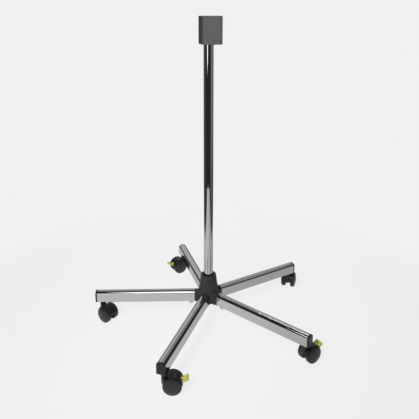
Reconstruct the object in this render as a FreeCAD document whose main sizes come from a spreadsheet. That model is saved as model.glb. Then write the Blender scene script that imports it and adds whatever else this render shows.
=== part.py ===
import FreeCAD, Part
import math
import os
import Sketcher
from FreeCAD import Placement, Rotation, Vector

# Five-leg roller floor stand for a lamp arm: chromed upright and legs, moulded hub,
# twin-wheel swivel casters, three of them with a brake pedal, and a socket block on top.
# Frame: +Z up, origin on the floor under the upright's axis, millimetres.

DIMENSIONS = {
    "pole_dia": (28.0, "outer diameter of the upright tube"),
    "pole_wall": (1.5, "wall of the upright tube"),
    "pole_foot": (82.0, "height of the upright's lower end"),
    "pole_tip": (897.0, "height of the upright's upper end, inside the block"),
    "plug_length": (30.0, "threaded plug fixed in the upright's lower end"),
    "leg_width": (25.5, "width of the leg tube"),
    "leg_side": (28.4, "height of the leg's flat side"),
    "leg_rise": (6.3, "rise of the arched top over the side"),
    "leg_wall": (1.5, "wall of the leg tube"),
    "leg_shoulder": (2.6, "radius between side and arched top"),
    "leg_corner": (1.6, "radius along the leg's lower edges"),
    "leg_start": (42.6, "radius at which the leg butts against the hub"),
    "leg_end": (349.0, "radius of the leg tube's outer end"),
    "leg_slope": (2.06, "degrees that each leg falls outwards"),
    "leg_root": (72.4, "height of the leg's underside line at the upright's axis"),
    "cap_flange": (5.5, "thickness of the end cap outside the tube"),
    "cap_insert": (27.0, "length of the end cap inside the tube"),
    "cap_round": (1.6, "rounding of the end cap's outer rim"),
    "fit_gap": (0.15, "gap between a leg tube and what is pushed into it"),
    "core_dia": (40.0, "socket of the metal hub core"),
    "core_base": (68.0, "height of the hub core's underside"),
    "core_tip": (136.0, "height of the hub core's upper rim"),
    "spigot_reach": (72.0, "radius that the hub core's spigots reach inside the legs"),
    "cover_base": (65.0, "height of the hub cover's lower rim"),
    "cover_tip": (160.0, "height of the hub cover's upper rim"),
    "cover_neck_dia": (46.6, "cover diameter at its upper rim"),
    "cover_foot_dia": (59.0, "cover diameter at the level of the legs"),
    "cover_foot_tip": (115.0, "height where the cover's cone starts"),
    "cover_mouth_dia": (33.5, "opening of the cover around the upright"),
    "cover_rim": (2.4, "rounding of the cover's upper rim"),
    "mouth_round": (1.0, "rounding of the mouth's edge"),
    "scallop_dia": (19.0, "arch in the cover between two legs"),
    "stud_reach": (54.0, "radius of the studs that clamp the legs"),
    "stud_dia": (8.0, "stud thread"),
    "nut_flats": (13.0, "dome nut across its flats"),
    "nut_hex": (6.5, "height of the dome nut's hexagon"),
    "nut_dome": (5.9, "radius of the dome nut's cap"),
    "washer_dia": (17.0, "washer under the dome nut"),
    "washer_thick": (1.6, "thickness of that washer"),
    "bolt_dia": (10.0, "bolt that draws the upright into the hub"),
    "bolt_length": (34.0, "shank of that bolt"),
    "bolt_head_dia": (16.0, "head of that bolt"),
    "bolt_head": (9.0, "height of that bolt's head"),
    "bolt_key": (8.0, "hexagon socket of that bolt, across its flats"),
    "stem_reach": (335.0, "radius of the caster stems"),
    "stem_dia": (11.0, "caster stem"),
    "stem_foot": (31.0, "height of the caster stem's lower end"),
    "stem_top": (84.0, "height of the caster stem's upper end"),
    "sleeve_dia": (14.0, "outer diameter of the stem sleeve"),
    "sleeve_bore": (11.1, "bore of the stem sleeve"),
    "sleeve_base": (60.9, "height of the stem sleeve's lower end"),
    "sleeve_tip": (87.0, "height of the stem sleeve's upper end"),
    "wheel_dia": (50.0, "caster wheel"),
    "wheel_width": (11.5, "width of one wheel at its tread"),
    "wheel_gap": (18.4, "distance between the two wheels"),
    "wheel_round": (3.0, "rounding of the wheel's outer shoulder"),
    "wheel_dome": (5.0, "bulge of the wheel's outer face"),
    "wheel_drum": (20.2, "radius of the drum inside a wheel"),
    "wheel_boss": (7.0, "radius of the wheel's inner boss"),
    "wheel_face": (3.5, "thickness of the wheel's face at its rim"),
    "axle_dia": (6.0, "caster axle"),
    "axle_length": (40.0, "caster axle from end to end"),
    "play": (0.05, "radial clearance of what turns on a pin"),
    "caster_trail": (22.5, "distance from the stem's axis to the axle's axis"),
    "barrel_dia": (14.8, "barrel of the caster housing around the stem"),
    "barrel_base": (25.0, "height of the barrel's lower end"),
    "barrel_tip": (59.2, "height of the barrel's upper end"),
    "web_width": (16.0, "housing between the two wheels"),
    "hood_radius": (27.3, "outer radius of the hood over the wheels"),
    "hood_wall": (1.6, "wall of that hood"),
    "hood_width": (33.6, "width of that hood"),
    "hood_rear": (5.0, "angle of the hood's rear edge above the axle"),
    "hood_front": (116.0, "angle of the hood's front edge above the axle"),
    "wing_top": (135.0, "angle of the upper edge of the hood's front wing above the axle"),
    "wing_foot": (172.0, "angle of the lower edge of that wing"),
    "pivot_x": (34.0, "pedal pivot behind the stem's axis"),
    "pivot_z": (37.0, "height of the pedal pivot"),
    "bar_x": (24.0, "pedal's cross bar behind the stem's axis"),
    "bar_z": (40.5, "height of the pedal's cross bar"),
    "bar_dia": (4.0, "cross bar that locks both wheels"),
    "bar_length": (25.0, "length of that cross bar"),
    "bar_window": (7.6, "opening in the housing for the cross bar"),
    "lever_width": (9.0, "width of the pedal's lever"),
    "lever_slot": (10.0, "width of the slot for the lever"),
    "pedal_width": (24.0, "width of the pedal's tread"),
    "pedal_thick": (3.6, "thickness of the pedal's tread"),
    "pedal_length": (14.0, "length of the pedal's tread"),
    "pedal_root_x": (51.2, "tread's lower inner edge behind the stem's axis"),
    "pedal_root_z": (34.8, "height of the tread's lower inner edge"),
    "pedal_lift": (21.0, "degrees that the tread points upwards"),
    "pin_dia": (3.0, "pin that carries the pedal"),
    "pin_length": (15.0, "length of that pin"),
    "block_width": (58.0, "socket block, left to right"),
    "block_depth": (56.0, "socket block, front to back"),
    "block_base": (861.0, "height of the socket block's underside"),
    "block_tip": (937.0, "height of the socket block's top"),
    "block_corner": (9.0, "radius of the block's upright edges"),
    "block_edge": (2.2, "radius of the block's upper and lower edges"),
    "block_side": (3.8, "block centre beside the upright's axis"),
    "block_front": (5.5, "block centre in front of the upright's axis"),
    "block_yaw": (16.0, "degrees that the block is turned on the upright"),
    "bush_dia": (20.0, "outer diameter of the nylon bush in the block"),
    "bush_bore": (16.0, "bore of that bush, for the lamp arm's spigot"),
    "bush_length": (32.0, "length of that bush"),
    "grub_dia": (8.0, "grub screws of the block"),
    "grub_sink": (2.0, "depth of those screws under the block's rear face"),
    "grub_pitch": (18.0, "distance between the two screws on the upright"),
    "grub_key": (4.0, "hexagon socket of those screws, across its flats"),
    "grub_key_depth": (4.5, "depth of that socket"),
}

# Azimuth of each leg, and azimuth to which its caster trails.
LEGS = {
    "left": (180.0, -34.0),
    "rear_left": (108.0, 214.0),
    "rear_right": (36.0, 74.0),
    "front_right": (-36.0, 37.0),
    "front": (-108.0, 0.0),
}
BRAKED = ("rear_left", "front_right", "front")
FIRST_LEG = 36.0

X_AXIS = Vector(1, 0, 0)
Y_AXIS = Vector(0, 1, 0)
Z_AXIS = Vector(0, 0, 1)

doc = FreeCAD.newDocument("roller_stand")
sheet = doc.addObject("Spreadsheet::Sheet", "Dims")
for row, (alias, (number, note)) in enumerate(DIMENSIONS.items(), start=1):
    sheet.set(f"A{row}", alias)
    sheet.set(f"B{row}", str(number))
    sheet.set(f"C{row}", note)
    sheet.setAlias(f"B{row}", alias)
doc.recompute()


class Size:
    """A length or angle: its present value, and the formula on the sheet it comes from."""

    def __init__(self, value, text):
        self.value = value
        self.text = text

    def join(self, other, sign, value):
        return Size(value, f"({self.text} {sign} {other.text})")

    def __add__(self, other):
        return self.join(as_size(other), "+", self.value + as_size(other).value)

    def __sub__(self, other):
        return self.join(as_size(other), "-", self.value - as_size(other).value)

    def __mul__(self, other):
        return self.join(as_size(other), "*", self.value * as_size(other).value)

    def __truediv__(self, other):
        return self.join(as_size(other), "/", self.value / as_size(other).value)

    def __neg__(self):
        return as_size(-1) * self


def as_size(thing):
    return thing if isinstance(thing, Size) else Size(float(thing), str(thing))


def on_sheet(alias):
    return Size(float(getattr(sheet, alias)), f"Dims.{alias}")


def sine(angle):
    return Size(math.sin(math.radians(angle.value)), f"sin({angle.text} * 1 deg)")


def cosine(angle):
    return Size(math.cos(math.radians(angle.value)), f"cos({angle.text} * 1 deg)")


D = {alias: on_sheet(alias) for alias in DIMENSIONS}
LEG_FALL = sine(D["leg_slope"]) / cosine(D["leg_slope"])
LEG_WAY = Vector(1, 0, -LEG_FALL.value)
AXLE = (D["caster_trail"], D["wheel_dia"] / 2)


# ---------------------------------------------------------------- drawing helpers

def bind(thing, path, measure):
    thing.setExpression(path, as_size(measure).text)


def new_body(label):
    body = doc.addObject("PartDesign::Body", label)
    body.Label = label
    body.AllowCompound = True
    return body


def new_sketch(body, role, x=0, y=0, z=0, rotation=Rotation()):
    """A sketch on one of the body's own planes, set off in the plane's own directions."""
    plane = next(f for f in body.Origin.OriginFeatures if f.Role == role)
    sketch = body.newObject("Sketcher::SketchObject", f"{body.Label}_sketch")
    sketch.AttachmentSupport = [(plane, "")]
    sketch.MapMode = "FlatFace"
    sketch.AttachmentOffset = Placement(Vector(), rotation)
    for path, measure in (("x", x), ("y", y), ("z", z)):
        if isinstance(measure, Size):
            bind(sketch, f"AttachmentOffset.Base.{path}", measure)
    return sketch


def hold(sketch, measure, *constraint):
    index = sketch.addConstraint(Sketcher.Constraint(*constraint, measure.value))
    bind(sketch, f"Constraints[{index}]", measure)


def place_point(sketch, geometry, end, point):
    """Holds a point of the geometry at its distances from the sketch's origin."""
    for measure, kind, axis in ((point[0], "DistanceX", -2), (point[1], "DistanceY", -1)):
        if as_size(measure).value == 0.0:
            sketch.addConstraint(Sketcher.Constraint("PointOnObject", geometry, end, axis))
        else:
            hold(sketch, as_size(measure), kind, -1, 1, geometry, end)


def flat(point):
    return Vector(as_size(point[0]).value, as_size(point[1]).value, 0)


def circle(sketch, radius, centre=(0, 0)):
    ring = sketch.addGeometry(Part.Circle(flat(centre), Z_AXIS, radius.value))
    hold(sketch, radius, "Radius", ring)
    place_point(sketch, ring, 3, centre)


def polygon(sketch, points):
    """A closed outline of straight lines through the points."""
    first = len(sketch.Geometry)
    last = first + len(points) - 1
    for start, end in zip(points, points[1:] + points[:1]):
        sketch.addGeometry(Part.LineSegment(flat(start), flat(end)))
    for index, point in enumerate(points, start=first):
        follower = first if index == last else index + 1
        sketch.addConstraint(Sketcher.Constraint("Coincident", index, 2, follower, 1))
        place_point(sketch, index, 1, point)


def arch(sketch, inset=as_size(0)):
    """The leg's section, drawn inwards by inset: a flat floor, two sides and an arched top."""
    half = D["leg_width"] / 2 - inset
    rise = D["leg_rise"]
    corners = [(-half, inset), (half, inset), (half, D["leg_side"]), (-half, D["leg_side"])]
    floor = sketch.addGeometry(Part.LineSegment(flat(corners[0]), flat(corners[1])))
    right = sketch.addGeometry(Part.LineSegment(flat(corners[1]), flat(corners[2])))
    crown = Vector(0, (D["leg_side"] + rise - inset).value, 0)
    top = sketch.addGeometry(Part.Arc(flat(corners[2]), crown, flat(corners[3])))
    left = sketch.addGeometry(Part.LineSegment(flat(corners[3]), flat(corners[0])))
    for first, second in ((floor, right), (right, top), (top, left), (left, floor)):
        sketch.addConstraint(Sketcher.Constraint("Coincident", first, 2, second, 1))
    for line, corner in ((floor, corners[0]), (right, corners[1]), (top, corners[2]),
                         (left, corners[3])):
        place_point(sketch, line, 1, corner)
    bow = rise - inset
    hold(sketch, (half * half + bow * bow) / (bow * 2), "Radius", top)


def extrude(body, sketch, length, kind="PartDesign::Pad", both=False, back=False, way=None):
    feature = body.newObject(kind, f"{body.Label}_{kind[12:].lower()}")
    feature.Profile = sketch
    feature.Midplane = both
    feature.Reversed = back
    bind(feature, "Length", length)
    if way is not None:
        feature.UseCustomVector = True
        feature.Direction = way
        feature.AlongSketchNormal = True
    return feature


def cut(body, sketch, length, **options):
    return extrude(body, sketch, length, kind="PartDesign::Pocket", **options)


def turned(body, sketch, kind="PartDesign::Revolution"):
    feature = body.newObject(kind, f"{body.Label}_turned")
    feature.Profile = sketch
    feature.ReferenceAxis = (sketch, ["V_Axis"])
    feature.Angle = 360.0
    return feature


def for_each_leg(body, feature):
    pattern = body.newObject("PartDesign::PolarPattern", f"{body.Label}_pattern")
    pattern.Originals = [feature]
    axis = next(f for f in body.Origin.OriginFeatures if f.Role == "Z_Axis")
    pattern.Axis = (axis, [""])
    pattern.Angle = 360.0
    pattern.Occurrences = len(LEGS)
    body.Tip = pattern
    return pattern


def rounded(body, radius, wanted):
    """Rounds the edges of the body so far for which wanted(edge) is true."""
    doc.recompute()
    base = body.Tip
    picked = [f"Edge{i}" for i, e in enumerate(base.Shape.Edges, start=1) if wanted(e)]
    if not picked:
        raise RuntimeError(f"{body.Label} has no such edge to round")
    feature = body.newObject("PartDesign::Fillet", f"{body.Label}_fillet")
    feature.Base = (base, picked)
    bind(feature, "Radius", radius)
    return feature


def runs_along(edge, way):
    if not isinstance(edge.Curve, Part.Line):
        return False
    return abs(edge.tangentAt(edge.FirstParameter).dot(way.normalize())) > 0.9999


def lies_at(edge, axis, place):
    """True if the whole edge lies in the plane at that place on the axis."""
    ends = [edge.valueAt(t) for t in (edge.FirstParameter, edge.LastParameter)]
    ends.append(edge.CenterOfMass)
    return all(abs(point.dot(axis) - place) < 0.01 for point in ends)


def turn(azimuth):
    return Placement(Vector(), Rotation(Z_AXIS, azimuth))


def at_stem(name):
    """Placement of a caster: on its stem's axis, trailing to its own azimuth."""
    azimuth, trail = LEGS[name]
    foot = turn(azimuth).multVec(Vector(D["stem_reach"].value, 0, 0))
    return Placement(foot, Rotation(Z_AXIS, trail))


def square_to_leg():
    """Turns an upright thing square to a leg's sloping underside."""
    return Rotation(Y_AXIS, D["leg_slope"].value)


def underside(radius):
    return D["leg_root"] - radius * LEG_FALL


def section_sketch(body, radius):
    """An upright sketch across the leg, standing on the underside line at that radius."""
    return new_sketch(body, "YZ_Plane", y=underside(radius), z=radius)


def side_sketch(body):
    """The caster's side view: first direction away from the stem, second direction up."""
    return new_sketch(body, "XZ_Plane")


def plan_sketch(body, height):
    return new_sketch(body, "XY_Plane", z=height)


def ray(angle, radius):
    """A point of the caster's side view, seen from the axle."""
    return (AXLE[0] + cosine(angle) * radius, AXLE[1] + sine(angle) * radius)


# ------------------------------------------------------------------- hub and pole

def make_pole():
    body = new_body("pole")
    ring = plan_sketch(body, D["pole_foot"])
    circle(ring, D["pole_dia"] / 2)
    circle(ring, D["pole_dia"] / 2 - D["pole_wall"])
    extrude(body, ring, D["pole_tip"] - D["pole_foot"])
    return body


def make_pole_plug():
    body = new_body("pole_plug")
    ring = plan_sketch(body, D["pole_foot"])
    circle(ring, D["pole_dia"] / 2 - D["pole_wall"])
    circle(ring, D["bolt_dia"] / 2)
    extrude(body, ring, D["plug_length"])
    return body


def make_pole_washer():
    body = new_body("pole_washer")
    ring = plan_sketch(body, D["core_base"] - D["washer_thick"])
    circle(ring, D["washer_dia"] / 2 + 2)
    circle(ring, D["bolt_dia"] / 2 + 0.3)
    extrude(body, ring, D["washer_thick"])
    return body


def make_pole_bolt():
    body = new_body("pole_bolt")
    seat = D["core_base"] - D["washer_thick"]
    head = plan_sketch(body, seat)
    circle(head, D["bolt_head_dia"] / 2)
    extrude(body, head, D["bolt_head"], back=True)
    shank = plan_sketch(body, seat)
    circle(shank, D["bolt_dia"] / 2)
    extrude(body, shank, D["bolt_length"])
    socket = plan_sketch(body, seat - D["bolt_head"])
    hexagon(socket, D["bolt_key"], (as_size(0), as_size(0)))
    cut(body, socket, D["bolt_head"] / 2, back=True)
    return body


def make_hub_core():
    """Socket for the upright, with one spigot reaching into each leg."""
    body = new_body("hub_core")
    spigot = section_sketch(body, D["core_dia"] / 4)
    arch(spigot, D["leg_wall"] + D["fit_gap"])
    arm = extrude(body, spigot, D["spigot_reach"] - D["core_dia"] / 4, way=LEG_WAY)
    for_each_leg(body, arm)
    post = plan_sketch(body, D["core_base"])
    circle(post, D["core_dia"] / 2)
    extrude(body, post, D["core_tip"] - D["core_base"])
    bore = plan_sketch(body, D["core_tip"])
    circle(bore, D["pole_dia"] / 2)
    cut(body, bore, D["core_tip"] - D["pole_foot"])
    hole = plan_sketch(body, D["core_tip"])
    circle(hole, D["bolt_dia"] / 2 + 0.3)
    cut(body, hole, D["core_tip"] - D["core_base"])
    tapped = new_sketch(body, "XY_Plane", x=D["stud_reach"], z=underside(D["stud_reach"]),
                        rotation=square_to_leg())
    circle(tapped, D["stud_dia"] / 2)
    drilling = cut(body, tapped, D["leg_side"] * 0.8, back=True)
    for_each_leg(body, drilling)
    body.Placement = turn(FIRST_LEG)
    return body


def make_hub_cover():
    """Moulded cone over the core, with a collar for each leg and arches between the legs."""
    body = new_body("hub_cover")
    collar = section_sketch(body, D["core_dia"] / 4)
    arch(collar)
    arm = extrude(body, collar, D["leg_start"] - D["core_dia"] / 4, way=LEG_WAY)
    for_each_leg(body, arm)
    half = D["leg_width"].value / 2
    rounded(body, D["leg_shoulder"], lambda e: runs_along_a_leg(e) and upper_edge(e, half))
    cone = new_sketch(body, "XZ_Plane")
    neck = D["cover_neck_dia"] / 2
    foot = D["cover_foot_dia"] / 2
    polygon(cone, [(0, D["cover_base"]), (foot, D["cover_base"]), (foot, D["cover_foot_tip"]),
                   (neck, D["cover_tip"]), (0, D["cover_tip"])])
    turned(body, cone)
    rounded(body, D["cover_rim"], lambda e: lies_at(e, Z_AXIS, D["cover_tip"].value))
    mouth = plan_sketch(body, D["cover_tip"])
    circle(mouth, D["cover_mouth_dia"] / 2)
    cut(body, mouth, D["cover_tip"] - D["cover_base"])
    inner = D["cover_mouth_dia"].value / 2
    rounded(body, D["mouth_round"], lambda e: lies_at(e, Z_AXIS, D["cover_tip"].value)
            and abs(e.Curve.Radius - inner) < 0.01)
    hollow = plan_sketch(body, D["core_tip"] + 1)
    circle(hollow, D["core_dia"] / 2 + 0.3)
    cut(body, hollow, D["core_tip"] + 1 - D["cover_base"])
    channel = section_sketch(body, D["core_dia"] / 4)
    arch(channel, D["leg_wall"])
    tunnel = cut(body, channel, D["leg_start"], way=LEG_WAY)
    for_each_leg(body, tunnel)
    doorway = new_sketch(body, "YZ_Plane")
    circle(doorway, D["scallop_dia"] / 2, (0, D["cover_base"] - 3))
    arcade = cut(body, doorway, D["cover_foot_dia"])
    for_each_leg(body, arcade)
    body.Placement = turn(FIRST_LEG)
    return body


def runs_along_a_leg(edge):
    return any(runs_along(edge, turn(72.0 * i).multVec(LEG_WAY)) for i in range(len(LEGS)))


def upper_edge(edge, half_width):
    """True for the two edges where a collar's sides meet its arched top."""
    middle = edge.CenterOfMass
    for i in range(len(LEGS)):
        local = turn(-72.0 * i).multVec(middle)
        height = local.z - underside(as_size(local.x)).value
        if local.x > 0 and abs(abs(local.y) - half_width) < 0.01:
            return height > D["leg_side"].value / 2
    return False


# --------------------------------------------------------------------------- legs

def make_leg(name):
    body = new_body(f"leg_{name}")
    profile = section_sketch(body, D["leg_start"])
    arch(profile)
    arch(profile, D["leg_wall"])
    extrude(body, profile, D["leg_end"] - D["leg_start"], way=LEG_WAY)
    half = D["leg_width"].value / 2

    def side_edge(edge):
        return runs_along(edge, LEG_WAY) and abs(abs(edge.CenterOfMass.y) - half) < 0.01

    split = underside((D["leg_start"] + D["leg_end"]) / 2) + D["leg_side"] / 2
    rounded(body, D["leg_shoulder"], lambda e: side_edge(e) and e.CenterOfMass.z > split.value)
    rounded(body, D["leg_corner"], lambda e: side_edge(e) and e.CenterOfMass.z < split.value)
    holes = plan_sketch(body, split)
    circle(holes, D["stud_dia"] / 2 + 0.3, (D["stud_reach"], 0))
    circle(holes, D["sleeve_dia"] / 2 + 0.2, (D["stem_reach"], 0))
    cut(body, holes, D["leg_side"])
    body.Placement = turn(LEGS[name][0])
    return body


def make_leg_cap(name):
    """Black plug in the leg's outer end, bored for the stem sleeve."""
    body = new_body(f"leg_cap_{name}")
    outside = section_sketch(body, D["leg_end"])
    arch(outside)
    extrude(body, outside, D["cap_flange"], way=LEG_WAY)
    half = D["leg_width"].value / 2
    rounded(body, D["leg_corner"],
            lambda e: runs_along(e, LEG_WAY) and abs(abs(e.CenterOfMass.y) - half) < 0.01)
    tip = (D["leg_end"] + D["cap_flange"]).value
    rounded(body, D["cap_round"], lambda e: lies_at(e, X_AXIS, tip))
    inside = section_sketch(body, D["leg_end"])
    arch(inside, D["leg_wall"] + D["fit_gap"])
    extrude(body, inside, D["cap_insert"], back=True, way=LEG_WAY)
    bore = plan_sketch(body, D["sleeve_tip"])
    circle(bore, D["sleeve_dia"] / 2, (D["stem_reach"], 0))
    cut(body, bore, D["sleeve_tip"] - D["wheel_dia"])
    body.Placement = turn(LEGS[name][0])
    return body


def make_stem_sleeves():
    body = new_body("stem_sleeves")
    ring = plan_sketch(body, D["sleeve_base"])
    circle(ring, D["sleeve_dia"] / 2, (D["stem_reach"], 0))
    circle(ring, D["sleeve_bore"] / 2, (D["stem_reach"], 0))
    tube = extrude(body, ring, D["sleeve_tip"] - D["sleeve_base"])
    for_each_leg(body, tube)
    body.Placement = turn(FIRST_LEG)
    return body


def stud_sketch(body, lift):
    """A sketch square to the leg at its clamping stud, lifted off the underside by lift."""
    sloped = (sine(D["leg_slope"]) * lift, cosine(D["leg_slope"]) * lift)
    return new_sketch(body, "XY_Plane", x=D["stud_reach"] + sloped[0],
                      z=underside(D["stud_reach"]) + sloped[1], rotation=square_to_leg())


def make_leg_studs():
    body = new_body("leg_studs")
    ring = stud_sketch(body, -D["washer_thick"] - D["nut_hex"])
    circle(ring, D["stud_dia"] / 2)
    stud = extrude(body, ring, D["washer_thick"] + D["nut_hex"] + D["leg_side"] * 0.75)
    for_each_leg(body, stud)
    body.Placement = turn(FIRST_LEG)
    return body


def make_leg_washers():
    body = new_body("leg_washers")
    ring = stud_sketch(body, -D["washer_thick"])
    circle(ring, D["washer_dia"] / 2)
    circle(ring, D["stud_dia"] / 2 + 0.2)
    washer = extrude(body, ring, D["washer_thick"])
    for_each_leg(body, washer)
    body.Placement = turn(FIRST_LEG)
    return body


def make_dome_nut(azimuth):
    """Hexagon with a round cap under it, bored for the stud."""
    name = f"nut_{int(azimuth)}"
    hexagon = doc.addObject("Part::Prism", f"{name}_hexagon")
    hexagon.Polygon = 6
    bind(hexagon, "Circumradius", D["nut_flats"] / 2 / Size(math.cos(math.pi / 6), "cos(30 deg)"))
    bind(hexagon, "Height", D["nut_hex"])
    dome = doc.addObject("Part::Sphere", f"{name}_dome")
    bind(dome, "Radius", D["nut_dome"])
    solid = doc.addObject("Part::Fuse", f"{name}_solid")
    solid.Base = hexagon
    solid.Tool = dome
    thread = doc.addObject("Part::Cylinder", f"{name}_thread")
    bind(thread, "Radius", D["stud_dia"] / 2)
    bind(thread, "Height", D["nut_hex"])
    nut = doc.addObject("Part::Cut", name)
    nut.Base = solid
    nut.Tool = thread
    tilt = square_to_leg()
    depth = (D["washer_thick"] + D["nut_hex"]).value
    radius = D["stud_reach"]
    seat = Vector(radius.value, 0, underside(radius).value) - tilt.multVec(Z_AXIS) * depth
    nut.Placement = turn(azimuth) * Placement(seat, tilt)
    return nut


def make_leg_nuts():
    group = doc.addObject("Part::Compound", "leg_nuts")
    group.Links = [make_dome_nut(azimuth) for azimuth, _ in LEGS.values()]
    return group


# ------------------------------------------------------------------------ casters

def make_stem(name):
    body = new_body(f"caster_{name}_stem")
    foot = plan_sketch(body, D["stem_foot"])
    circle(foot, D["stem_dia"] / 2)
    extrude(body, foot, D["stem_top"] - D["stem_foot"])
    rounded(body, as_size(1), lambda e: lies_at(e, Z_AXIS, D["stem_top"].value))
    body.Placement = at_stem(name)
    return body


def make_housing(name):
    """Barrel on the stem, a web between the wheels, a hood over them and a wing before them."""
    body = new_body(f"caster_{name}_housing")
    hood = side_sketch(body)
    circle(hood, D["hood_radius"], AXLE)
    circle(hood, D["hood_radius"] - D["hood_wall"], AXLE)
    extrude(body, hood, D["hood_width"], both=True)
    disc = side_sketch(body)
    circle(disc, D["hood_radius"] - D["hood_wall"] / 2, AXLE)
    extrude(body, disc, D["web_width"], both=True)
    far = D["hood_radius"] * 3
    below = side_sketch(body)
    polygon(below, [AXLE, ray(D["hood_rear"], far), ray(as_size(-90), far),
                    ray(D["wing_foot"], far)])
    cut(body, below, D["hood_width"] * 2, both=True)
    between = side_sketch(body)
    polygon(between, [AXLE, ray(D["wing_top"], far), ray(D["hood_front"], far)])
    cut(body, between, D["hood_width"] * 2, both=True)
    outer_side = D["hood_width"].value / 2
    rounded(body, as_size(1), lambda e: isinstance(e.Curve, Part.Circle)
            and abs(e.Curve.Radius - D["hood_radius"].value) < 0.01
            and abs(abs(e.CenterOfMass.y) - outer_side) < 0.01)
    bridge = side_sketch(body)
    polygon(bridge, [(0, D["barrel_base"] + 1), (15, 13.5), (30, 12.5),
                     ray(D["hood_rear"], D["hood_radius"] * 0.82),
                     ray(D["hood_front"], D["hood_radius"] * 0.95), (0, 53)])
    extrude(body, bridge, D["web_width"], both=True)
    barrel = plan_sketch(body, D["barrel_base"])
    circle(barrel, D["barrel_dia"] / 2)
    extrude(body, barrel, D["barrel_tip"] - D["barrel_base"])
    rounded(body, as_size(1), lambda e: lies_at(e, Z_AXIS, D["barrel_tip"].value))
    bore = plan_sketch(body, D["barrel_tip"])
    circle(bore, D["stem_dia"] / 2)
    cut(body, bore, D["barrel_tip"] - D["stem_foot"])
    axle_hole = side_sketch(body)
    circle(axle_hole, D["axle_dia"] / 2, AXLE)
    cut(body, axle_hole, D["hood_width"], both=True)
    if name in BRAKED:
        open_for_pedal(body)
    body.Placement = at_stem(name)
    return body


def open_for_pedal(body):
    """Slot for the pedal's lever, window for its cross bar and hole for its pin."""
    slot = side_sketch(body)
    polygon(slot, [(19, 36.5), (19, 47), (31, 47.5), (40, 42), (53, 43), (53, 26),
                   (40, 28.5), (30, 31.5)])
    cut(body, slot, D["lever_slot"], both=True)
    window = side_sketch(body)
    circle(window, D["bar_window"] / 2, (D["bar_x"] + 0.4, D["bar_z"] + 0.8))
    cut(body, window, D["wheel_gap"] * 1.5, both=True)
    pin_hole = side_sketch(body)
    circle(pin_hole, D["pin_dia"] / 2, (D["pivot_x"], D["pivot_z"]))
    cut(body, pin_hole, D["pin_length"], both=True)


def make_axle(name):
    body = new_body(f"caster_{name}_axle")
    end = side_sketch(body)
    circle(end, D["axle_dia"] / 2, AXLE)
    extrude(body, end, D["axle_length"], both=True)
    body.Placement = at_stem(name)
    return body


def make_wheel(name, side, facing):
    """Wheel turned about its own Z axis from its inner face, then set on the axle."""
    body = new_body(f"caster_{name}_wheel_{side}")
    radius = D["wheel_dia"] / 2
    width = D["wheel_width"]
    disc = plan_sketch(body, as_size(0))
    circle(disc, radius)
    extrude(body, disc, width)
    rounded(body, as_size(1), lambda e: lies_at(e, Z_AXIS, 0.0))
    crown = new_sketch(body, "XZ_Plane")
    dome_section(crown, radius, width, D["wheel_dome"])
    turned(body, crown)
    rounded(body, D["wheel_round"], lambda e: lies_at(e, Z_AXIS, width.value))
    drum = plan_sketch(body, as_size(0))
    circle(drum, D["wheel_drum"])
    circle(drum, D["wheel_boss"])
    cut(body, drum, width - D["wheel_face"], back=True)
    bore = plan_sketch(body, as_size(0))
    circle(bore, D["axle_dia"] / 2 + D["play"])
    cut(body, bore, D["axle_length"] / 2 - D["wheel_gap"] / 2 + 0.5, back=True)
    inner = Vector(AXLE[0].value, facing * D["wheel_gap"].value / 2, AXLE[1].value)
    outwards = Rotation(Z_AXIS, Y_AXIS * facing)
    body.Placement = at_stem(name) * Placement(inner, outwards)
    return body


def dome_section(sketch, rim, width, bulge):
    """Half section of the dome on a wheel's outer face."""
    points = [(0, width - 1), (rim, width - 1), (rim, width), (0, width + bulge)]
    lines = [Part.LineSegment(flat(a), flat(b)) for a, b in ((points[0], points[1]),
                                                           (points[1], points[2]))]
    for line in lines:
        sketch.addGeometry(line)
    radius = (rim * rim + bulge * bulge) / (bulge * 2)
    middle = math.asin((rim / radius).value) / 2
    low = width.value + bulge.value - radius.value
    knee = Vector(radius.value * math.sin(middle), low + radius.value * math.cos(middle), 0)
    sketch.addGeometry(Part.Arc(flat(points[2]), knee, flat(points[3])))
    sketch.addGeometry(Part.LineSegment(flat(points[3]), flat(points[0])))
    for first in range(4):
        sketch.addConstraint(Sketcher.Constraint("Coincident", first, 2, (first + 1) % 4, 1))
        place_point(sketch, first, 1, points[first])
    hold(sketch, radius, "Radius", 2)


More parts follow.
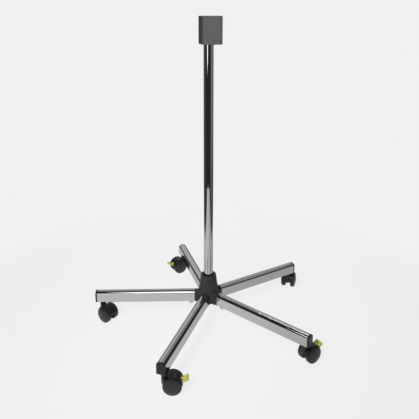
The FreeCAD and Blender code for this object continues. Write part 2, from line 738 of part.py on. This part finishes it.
def make_pedal(name):
    """Lever on a pin, with a cross bar for the wheels' drums and a tread for the foot."""
    body = new_body(f"caster_{name}_brake_pedal")
    lever = side_sketch(body)
    polygon(lever, [(21.8, 38.4), (21.8, 42.6), (34, 41), (44, 39.6), (52, 38.4),
                    (52, 35.2), (46.5, 33.2), (34, 33.2)])
    extrude(body, lever, D["lever_width"], both=True)
    bar = side_sketch(body)
    circle(bar, D["bar_dia"] / 2, (D["bar_x"], D["bar_z"]))
    extrude(body, bar, D["bar_length"], both=True)
    tread = side_sketch(body)
    inner = (D["pedal_root_x"], D["pedal_root_z"])
    along = (cosine(D["pedal_lift"]) * D["pedal_length"], sine(D["pedal_lift"]) * D["pedal_length"])
    up = (-sine(D["pedal_lift"]) * D["pedal_thick"], cosine(D["pedal_lift"]) * D["pedal_thick"])
    outer = (inner[0] + along[0], inner[1] + along[1])
    polygon(tread, [inner, outer, (outer[0] + up[0], outer[1] + up[1]),
                    (inner[0] + up[0], inner[1] + up[1])])
    extrude(body, tread, D["pedal_width"], both=True)
    half = D["pedal_width"].value / 2
    tip = (D["pedal_root_x"] + D["pedal_length"] / 2).value
    rounded(body, as_size(3), lambda e: abs(abs(e.CenterOfMass.y) - half) < 0.01
            and e.CenterOfMass.x > tip and e.Length < D["pedal_thick"].value * 1.1)
    hole = side_sketch(body)
    circle(hole, D["pin_dia"] / 2 + D["play"], (D["pivot_x"], D["pivot_z"]))
    cut(body, hole, D["lever_slot"], both=True)
    body.Placement = at_stem(name)
    return body


def make_pedal_pin(name):
    body = new_body(f"caster_{name}_pedal_pin")
    end = side_sketch(body)
    circle(end, D["pin_dia"] / 2, (D["pivot_x"], D["pivot_z"]))
    extrude(body, end, D["pin_length"], both=True)
    body.Placement = at_stem(name)
    return body


def make_caster(name):
    pieces = [make_stem(name), make_housing(name), make_axle(name),
              make_wheel(name, "a", -1), make_wheel(name, "b", 1)]
    if name in BRAKED:
        pieces += [make_pedal(name), make_pedal_pin(name)]
    return pieces


# ------------------------------------------------------------------- socket block

def block_place():
    return turn(D["block_yaw"].value)


def make_top_block():
    """Block with the upright's bore below, the lamp arm's bore above and threads behind."""
    body = new_body("top_block")
    plan = plan_sketch(body, D["block_base"])
    left = D["block_side"] - D["block_width"] / 2
    right = D["block_side"] + D["block_width"] / 2
    front = -D["block_front"] - D["block_depth"] / 2
    back = -D["block_front"] + D["block_depth"] / 2
    polygon(plan, [(left, front), (right, front), (right, back), (left, back)])
    extrude(body, plan, D["block_tip"] - D["block_base"])
    rounded(body, D["block_corner"], lambda e: runs_along(e, Vector(0, 0, 1)))
    rounded(body, D["block_edge"], lambda e: lies_at(e, Z_AXIS, D["block_base"].value)
            or lies_at(e, Z_AXIS, D["block_tip"].value))
    bore = plan_sketch(body, D["pole_tip"])
    circle(bore, D["pole_dia"] / 2)
    cut(body, bore, D["pole_tip"] - D["block_base"])
    socket = plan_sketch(body, D["block_tip"])
    circle(socket, D["bush_dia"] / 2, (D["block_side"], -D["block_front"]))
    cut(body, socket, D["bush_length"])
    for centre, tip in grub_screws():
        thread = rear_sketch(body, back)
        circle(thread, D["grub_dia"] / 2, centre)
        cut(body, thread, back - tip, back=True)
    body.Placement = block_place()
    return body


def rear_sketch(body, back):
    """An upright sketch on or under the block's rear face."""
    return new_sketch(body, "XZ_Plane", z=-back)


def grub_screws():
    """Centre and inner end of each screw: two on the upright and one on the lamp arm's bush."""
    low = (D["block_base"] + D["pole_tip"]) / 2 - D["grub_pitch"] / 2
    upright = D["pole_dia"] / 2
    bush = D["bush_dia"] / 2 - D["block_front"]
    high = D["block_tip"] - D["bush_length"] / 2
    return [((0, low), upright), ((0, low + D["grub_pitch"]), upright),
            ((D["block_side"], high), bush)]


def hexagon(sketch, across, centre):
    """A regular hexagon, measured across its flats."""
    points = []
    for i in range(6):
        angle = as_size(60 * i)
        reach = across / 2 / cosine(as_size(30))
        points.append((cosine(angle) * reach + centre[0], sine(angle) * reach + centre[1]))
    polygon(sketch, points)


def make_grub_screws():
    body = new_body("block_grub_screws")
    outer = D["block_depth"] / 2 - D["block_front"] - D["grub_sink"]
    for centre, tip in grub_screws():
        end = rear_sketch(body, outer)
        circle(end, D["grub_dia"] / 2, centre)
        extrude(body, end, outer - tip)
    for centre, tip in grub_screws():
        socket = rear_sketch(body, outer)
        hexagon(socket, D["grub_key"], centre)
        cut(body, socket, D["grub_key_depth"], back=True)
    body.Placement = block_place()
    return body


def make_bush():
    body = new_body("lamp_socket_bush")
    ring = plan_sketch(body, D["block_tip"] - D["bush_length"])
    centre = (D["block_side"], -D["block_front"])
    circle(ring, D["bush_dia"] / 2, centre)
    circle(ring, D["bush_bore"] / 2, centre)
    extrude(body, ring, D["bush_length"])
    body.Placement = block_place()
    return body


# ----------------------------------------------------------------- build and write

def build_all():
    pieces = [make_pole(), make_pole_plug(), make_pole_washer(), make_pole_bolt(),
              make_hub_core(), make_hub_cover(), make_leg_studs(), make_leg_washers(),
              make_leg_nuts(), make_stem_sleeves(), make_top_block(), make_grub_screws(),
              make_bush()]
    for name in LEGS:
        pieces.append(make_leg(name))
        pieces.append(make_leg_cap(name))
        pieces += make_caster(name)
    return pieces


def check(pieces):
    for thing in doc.Objects:
        if {"Invalid", "Error"} & set(thing.State):
            raise RuntimeError(f"{thing.Label} failed: {thing.State}")
    for piece in pieces:
        if piece.Shape.isNull() or not piece.Shape.isValid():
            raise RuntimeError(f"{piece.Label} has no valid shape")


pieces = build_all()
doc.recompute()
check(pieces)
os.makedirs("parts", exist_ok=True)
for piece in pieces:
    piece.Shape.exportStep(f"parts/{piece.Label}.step")
    volume = piece.Shape.Volume / 1000
    print(f"{piece.Label}: {len(piece.Shape.Solids)} solid(s), {volume:.2f} cm3")
print(f"{len(pieces)} nodes")
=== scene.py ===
"""Roller floor stand: finishes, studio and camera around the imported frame. Metres, +Z up."""
import math

import bpy
from mathutils import Matrix, Vector

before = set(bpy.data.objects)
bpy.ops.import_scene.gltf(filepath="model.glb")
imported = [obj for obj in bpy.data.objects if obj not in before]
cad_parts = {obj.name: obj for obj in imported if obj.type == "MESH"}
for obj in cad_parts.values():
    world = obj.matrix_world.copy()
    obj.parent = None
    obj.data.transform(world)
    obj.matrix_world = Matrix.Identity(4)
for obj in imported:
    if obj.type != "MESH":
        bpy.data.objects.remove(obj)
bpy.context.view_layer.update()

LEG_AZIMUTHS = {"left": 180, "rear_left": 108, "rear_right": 36, "front_right": -36,
                "front": -108}
LEG_PREFIX = "leg_"

# Brightness of the backdrop and the floor to the camera, and of the room in reflections.
BACKDROP = 0.877
FLOOR_GLOW = 0.805
REAR_FLOOR_GLOW = 0.83
ROOM_DARK = 0.035

# The floor: a disc of paper. Each pair is where a change starts and where it is complete.
FLOOR_RADIUS = 1.25
FLOOR_SIDES = 96
PAPER_SHADES = (0.115, 0.125)
FLOOR_FADE = (0.78, 0.98)          # from the centre outwards, to nothing
MIRRORED_STRIP = (0.52, 0.74)      # sideways, to nothing in reflections
FLOOR_REAR = (0.2, 0.9)            # from front to rear, to REAR_FLOOR_GLOW
FLOOR_RIGHT = (-0.1, 0.35)         # from left to right, to RIGHT_FLOOR_SHARE in reflections
RIGHT_FLOOR_SHARE = 0.68           # of FLOOR_GLOW
LIGHTING_FLOOR_SHARE = 0.4         # of FLOOR_GLOW, in the light the floor throws upwards

CEILING_LIGHTS = 1.70              # height of the two lights overhead

# CAMERA_PLACE is turned round the stand by CAMERA_YAW. Lens and sensor are in millimetres.
CAMERA_YAW = math.radians(2.07)
CAMERA_PITCH = math.radians(14.3)
CAMERA_PLACE = (-0.0049, -1.4577, 0.9637)
CAMERA_LENS = 44.7
CAMERA_SENSOR = 36.0
CAMERA_SHIFT = (0.0064, -0.17)

# Soft-edged areas of the studio's walls, as seen from the stand. Azimuth 0 is behind the
# stand and 90 to its right. (level, azimuth, half width, elevation, half height, soft edge)
ROOM_AREAS = [
    (0.40, -5.0, 34.0, 48.0, 16.0, 12.0),      # upper rear wall
    (0.72, -8.0, 26.0, 24.0, 12.0, 9.0),       # lit rear wall
    (0.30, 64.0, 8.0, 2.0, 12.0, 8.0),         # pale patch on the right wall
    (0.50, 62.0, 14.0, 56.0, 4.0, 10.0),       # reflector high on the right
    (0.30, 100.0, 14.0, -6.0, 8.0, 14.0),      # right side of the room, at floor level
    (0.15, -75.0, 16.0, -6.0, 10.0, 14.0),     # left side of the room, at floor level
]


# ------------------------------------------------------------------ node helpers

class Tree:
    """A small wrapper that adds and links shader nodes."""

    def __init__(self, tree):
        self.tree = tree
        tree.nodes.clear()

    def add(self, kind, values=None, **settings):
        """Adds a node; values sets its sockets, and an output socket there is linked."""
        node = self.tree.nodes.new(f"ShaderNode{kind}")
        for name, setting in settings.items():
            setattr(node, name, setting)
        for name, value in (values or {}).items():
            self.feed(node.inputs[name], value)
        return node

    def feed(self, socket, value):
        if isinstance(value, bpy.types.NodeSocket):
            self.tree.links.new(value, socket)
        else:
            socket.default_value = value

    def math(self, operation, *values):
        node = self.add("Math", operation=operation)
        for socket, value in zip(node.inputs, values):
            self.feed(socket, value)
        return node.outputs[0]

    def spread(self, value, low, high, to_low=0.0, to_high=1.0):
        """value from low..high, smoothly spread to to_low..to_high."""
        node = self.add("MapRange", {"Value": value, "From Min": low, "From Max": high,
                                     "To Min": to_low, "To Max": to_high},
                        interpolation_type="SMOOTHSTEP")
        return node.outputs["Result"]

    def mix(self, factor, first, second):
        node = self.add("Mix", data_type="RGBA")
        self.feed(node.inputs["Factor"], factor)
        self.feed(node.inputs[6], first)
        self.feed(node.inputs[7], second)
        return node.outputs[2]

    def noise(self, vector, scale, detail=2.0, roughness=0.5):
        node = self.add("TexNoise", {"Vector": vector, "Scale": scale, "Detail": detail,
                                     "Roughness": roughness})
        return node.outputs["Fac"]

    def bump(self, height, depth, strength=1.0, normal=None):
        values = {"Height": height, "Distance": depth, "Strength": strength}
        if normal is not None:
            values["Normal"] = normal
        return self.add("Bump", values).outputs["Normal"]


def grey(level):
    return (level, level, level, 1.0)


def material(name):
    """A new material: its tree, its surface shader, and coordinates in the row frame."""
    made = bpy.data.materials.new(name)
    made.use_nodes = True
    tree = Tree(made.node_tree)
    shader = tree.add("BsdfPrincipled")
    tree.add("OutputMaterial", {"Surface": shader.outputs[0]})
    coordinates = tree.add("TexCoord").outputs["Object"]
    return made, tree, shader, coordinates


# --------------------------------------------------------------------- finishes

def chrome(name, waves_per_metre, yaw=0.0, tint=(0.52, 0.519, 0.514)):
    """Polished chrome over drawn tube, with faint waves along X, Y and Z turned by yaw."""
    made, tree, shader, place = material(name)
    turned = tree.add("Mapping", {"Vector": place, "Rotation": (0, 0, -yaw)}).outputs[0]
    drawn = tree.add("Mapping", {"Vector": turned, "Scale": waves_per_metre}).outputs[0]
    waves = tree.noise(drawn, 1.0, 1.0)
    haze = tree.noise(place, 9.0, 3.0, 0.5)
    marks = tree.noise(drawn, 40.0, 4.0)
    shade = tree.mix(tree.spread(haze, 0.3, 0.7), (*(0.97 * c for c in tint), 1),
                     (*tint, 1))
    tree.feed(shader.inputs["Base Color"], shade)
    shader.inputs["Metallic"].default_value = 1.0
    shader.inputs["Specular Tint"].default_value = (0.72, 0.72, 0.73, 1.0)
    rough = tree.math("ADD", tree.spread(haze, 0.3, 0.7, 0.035, 0.055),
                      tree.spread(marks, 0.55, 0.8, 0.0, 0.04))
    tree.feed(shader.inputs["Roughness"], rough)
    tree.feed(shader.inputs["Normal"], tree.bump(waves, 0.0002, 0.08))
    return made


def moulded(name, dark, light, rough=(0.36, 0.46), level=0.4, grain=0.00002):
    """A moulded or cast surface: fine grain, slow changes of shade, faint rubbed spots."""
    made, tree, shader, place = material(name)
    clouds = tree.noise(place, 28.0, 4.0, 0.6)
    texture = tree.noise(place, 2600.0, 2.0, 0.6)
    rubbed = tree.noise(place, 160.0, 5.0, 0.6)
    shade = tree.mix(tree.spread(clouds, 0.3, 0.7), (*dark, 1), (*light, 1))
    tree.feed(shader.inputs["Base Color"], shade)
    polish = tree.spread(rubbed, 0.4, 0.72, rough[1], rough[0])
    tree.feed(shader.inputs["Roughness"], polish)
    shader.inputs["Specular IOR Level"].default_value = level
    slow = tree.bump(clouds, 0.0003, 0.2)
    tree.feed(shader.inputs["Normal"], tree.bump(texture, grain, 0.6, slow))
    return made


def turned_steel(name, tint=(0.46, 0.46, 0.47)):
    """Zinc-plated turned steel with fine rings about the vertical axis."""
    made, tree, shader, place = material(name)
    rings = tree.add("TexWave", {"Vector": place, "Scale": 420.0, "Distortion": 1.5,
                                 "Detail": 2.0}, wave_type="BANDS",
                     bands_direction="Z").outputs["Fac"]
    spots = tree.noise(place, 240.0, 4.0)
    shade = tree.mix(spots, (*(0.8 * c for c in tint), 1), (*tint, 1))
    tree.feed(shader.inputs["Base Color"], shade)
    shader.inputs["Metallic"].default_value = 1.0
    tree.feed(shader.inputs["Roughness"], tree.spread(spots, 0.3, 0.7, 0.22, 0.38))
    tree.feed(shader.inputs["Normal"], tree.bump(rings, 0.00003, 0.4))
    return made


def paint(node, finish):
    """Gives every material slot of a node the finish; a node without slots gets one."""
    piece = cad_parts[node]
    if not piece.material_slots:
        piece.data.materials.append(finish)
    for slot in piece.material_slots:
        slot.link = "OBJECT"
        slot.material = finish


def paint_all():
    black_hub = moulded("hub_black", (0.034, 0.034, 0.0327), (0.043, 0.043, 0.0413),
                        level=0.2)
    black_cap = moulded("cap_black", (0.012, 0.012, 0.0117), (0.018, 0.018, 0.0175),
                        rough=(0.28, 0.38), level=0.3)
    black_caster = moulded("caster_black", (0.012, 0.012, 0.0116), (0.017, 0.017, 0.0164),
                           rough=(0.26, 0.36), level=0.4)
    black_wheel = moulded("wheel_black", (0.012, 0.012, 0.0117), (0.017, 0.017, 0.0165),
                          rough=(0.30, 0.38), level=0.45)
    dark_block = moulded("block_grey", (0.115, 0.115, 0.115), (0.130, 0.130, 0.130),
                         rough=(0.32, 0.38), level=0.15)
    yellow = moulded("pedal_yellow", (0.68, 0.64, 0.14), (0.76, 0.72, 0.17))
    nylon = moulded("nylon", (0.55, 0.54, 0.50), (0.62, 0.61, 0.57))
    steel = turned_steel("plated_steel")
    cast = moulded("cast_metal", (0.25, 0.25, 0.25), (0.33, 0.33, 0.33), grain=0.00006)
    pole_chrome = chrome("pole_chrome", (30.0, 30.0, 1.6))
    nut_chrome = chrome("nut_chrome", (40.0, 40.0, 40.0))
    leg_chrome = {name: chrome(f"leg_chrome_{name}", (1.8, 34.0, 34.0), math.radians(azimuth))
                  for name, azimuth in LEG_AZIMUTHS.items()}
    by_word = {"hub_cover": black_hub, "leg_cap": black_cap, "housing": black_caster,
               "wheel": black_wheel, "top_block": dark_block, "brake_pedal": yellow,
               "bush": nylon, "sleeves": nylon, "hub_core": cast, "leg_nuts": nut_chrome}
    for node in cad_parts:
        finish = next((made for word, made in by_word.items() if word in node), steel)
        if node == "pole":
            finish = pole_chrome
        elif node.removeprefix(LEG_PREFIX) in leg_chrome:
            finish = leg_chrome[node.removeprefix(LEG_PREFIX)]
        paint(node, finish)


# ----------------------------------------------------------------------- studio

def make_floor():
    """A round pale sheet that fades into the backdrop; chrome mirrors a straight strip of it."""
    mesh = bpy.data.meshes.new("floor")
    turns = [2 * math.pi * side / FLOOR_SIDES for side in range(FLOOR_SIDES)]
    rim = [(FLOOR_RADIUS * math.cos(turn), FLOOR_RADIUS * math.sin(turn), 0.0) for turn in turns]
    mesh.from_pydata(rim, [], [list(range(FLOOR_SIDES))])
    floor = bpy.data.objects.new("floor", mesh)
    bpy.context.scene.collection.objects.link(floor)
    made = bpy.data.materials.new("floor_paper")
    made.use_nodes = True
    tree = Tree(made.node_tree)
    place = tree.add("TexCoord").outputs["Object"]
    reach = tree.add("VectorMath", {0: place}, operation="LENGTH").outputs["Value"]
    fibres = tree.noise(place, 900.0, 3.0)
    darker, lighter = (grey(shade) for shade in PAPER_SHADES)
    paper = tree.add("BsdfDiffuse", {"Color": tree.mix(fibres, darker, lighter)})
    across, behind, _ = tree.add("SeparateXYZ", {0: place}).outputs
    ray = tree.add("LightPath").outputs
    mirrored = tree.mix(tree.spread(across, *FLOOR_RIGHT), grey(FLOOR_GLOW),
                        grey(RIGHT_FLOOR_SHARE * FLOOR_GLOW))
    level = tree.mix(ray["Is Diffuse Ray"], mirrored, grey(LIGHTING_FLOOR_SHARE * FLOOR_GLOW))
    seen = tree.mix(tree.spread(behind, *FLOOR_REAR), grey(FLOOR_GLOW), grey(REAR_FLOOR_GLOW))
    level = tree.mix(ray["Is Camera Ray"], level, seen)
    glow = tree.add("Emission", {"Color": level, "Strength": 1.0})
    both = tree.add("AddShader", {0: paper.outputs[0], 1: glow.outputs[0]})
    clear = tree.add("BsdfTransparent")
    aside = tree.math("ABSOLUTE", across)
    fade = tree.mix(ray["Is Glossy Ray"], tree.spread(reach, *FLOOR_FADE),
                    tree.spread(aside, *MIRRORED_STRIP))
    shown = tree.add("MixShader", {0: fade, 1: both.outputs[0], 2: clear.outputs[0]})
    tree.add("OutputMaterial", {"Surface": shown.outputs[0]})
    mesh.materials.append(made)


def room_area(tree, room, across, up, area):
    """Paints one soft-edged area over the room."""
    level, azimuth, half_width, elevation, half_height, edge = area
    aside = tree.math("ABSOLUTE", tree.math("WRAP", tree.math("SUBTRACT", across, azimuth),
                                            180.0, -180.0))
    above = tree.math("ABSOLUTE", tree.math("SUBTRACT", up, elevation))
    inside = tree.math("MULTIPLY", tree.spread(aside, half_width, half_width + edge, 1.0, 0.0),
                       tree.spread(above, half_height, half_height + edge, 1.0, 0.0))
    return tree.mix(inside, room, grey(level))


def make_world():
    """Pale surroundings to the eye; surfaces mirror and are lit by a darker studio room."""
    world = bpy.data.worlds.new("studio")
    bpy.context.scene.world = world
    world.use_nodes = True
    tree = Tree(world.node_tree)
    parts = tree.add("SeparateXYZ", {0: tree.add("TexCoord").outputs["Generated"]}).outputs
    across = tree.math("DEGREES", tree.math("ARCTAN2", parts["X"], parts["Y"]))
    up = tree.math("DEGREES", tree.math("ARCSINE", parts["Z"]))
    room = grey(ROOM_DARK)
    for area in ROOM_AREAS:
        room = room_area(tree, room, across, up, area)
    light = tree.add("LightPath")
    seen = tree.mix(light.outputs["Is Camera Ray"], room, grey(BACKDROP))
    back = tree.add("Background", {"Color": seen, "Strength": 1.0})
    tree.add("OutputWorld", {"Surface": back.outputs[0]})


def make_softbox(name, place, aim, size, glow, spread=180.0, mirrored=True):
    """A rectangular light of brightness glow, unseen by the camera.

    aim is its rotation from facing straight down and spread the width of its beam, both in
    degrees. A light that isn't mirrored shows in no reflection.
    """
    width, height = size
    light = bpy.data.lights.new(name, "AREA")
    light.shape = "RECTANGLE"
    light.size = width
    light.size_y = height
    light.energy = glow * math.pi * width * height
    light.spread = math.radians(spread)
    box = bpy.data.objects.new(name, light)
    box.location = place
    box.rotation_euler = [math.radians(angle) for angle in aim]
    box.visible_camera = False
    box.visible_glossy = mirrored
    bpy.context.scene.collection.objects.link(box)


def around(azimuth, distance, height):
    """A point at an azimuth round the stand, 0 behind it and 90 to its right."""
    turned = math.radians(azimuth)
    return (distance * math.sin(turned), distance * math.cos(turned), height)


def make_lights():
    """A strip and two boxes in front of the stand, and a box and a lamp over it."""
    make_softbox("key_strip", around(-154.0, 2.3, 1.40), (90.0, -14.0, -26.0), (0.55, 1.75), 2.8)
    make_softbox("front_box", around(164.0, 1.3, 1.28), (76.0, 0.0, 16.0), (0.5, 0.5), 2.5,
                 spread=76.0)
    make_softbox("base_fill", around(-158.0, 1.3, 1.15), (51.0, 0.0, -22.0), (0.5, 0.5), 1.8,
                 spread=50.0, mirrored=False)
    make_softbox("overhead_box", (-0.385, -0.825, CEILING_LIGHTS), (0.0, 0.0, 16.0),
                 (0.53, 0.98), 2.6)
    make_softbox("overhead_lamp", (0.12, 0.77, CEILING_LIGHTS), (0.0, 0.0, -38.0),
                 (0.40, 0.07), 9.0)


def make_camera():
    """The photo's view of the stand."""
    camera = bpy.data.objects.new("camera", bpy.data.cameras.new("camera"))
    bpy.context.scene.collection.objects.link(camera)
    camera.location = Matrix.Rotation(CAMERA_YAW, 3, "Z") @ Vector(CAMERA_PLACE)
    camera.rotation_euler = (math.pi / 2 - CAMERA_PITCH, 0.0, CAMERA_YAW)
    camera.data.sensor_width = CAMERA_SENSOR
    camera.data.lens = CAMERA_LENS
    camera.data.shift_x, camera.data.shift_y = CAMERA_SHIFT
    bpy.context.scene.camera = camera


paint_all()
make_floor()
make_world()
make_lights()
make_camera()
bpy.context.scene.view_settings.view_transform = "Standard"
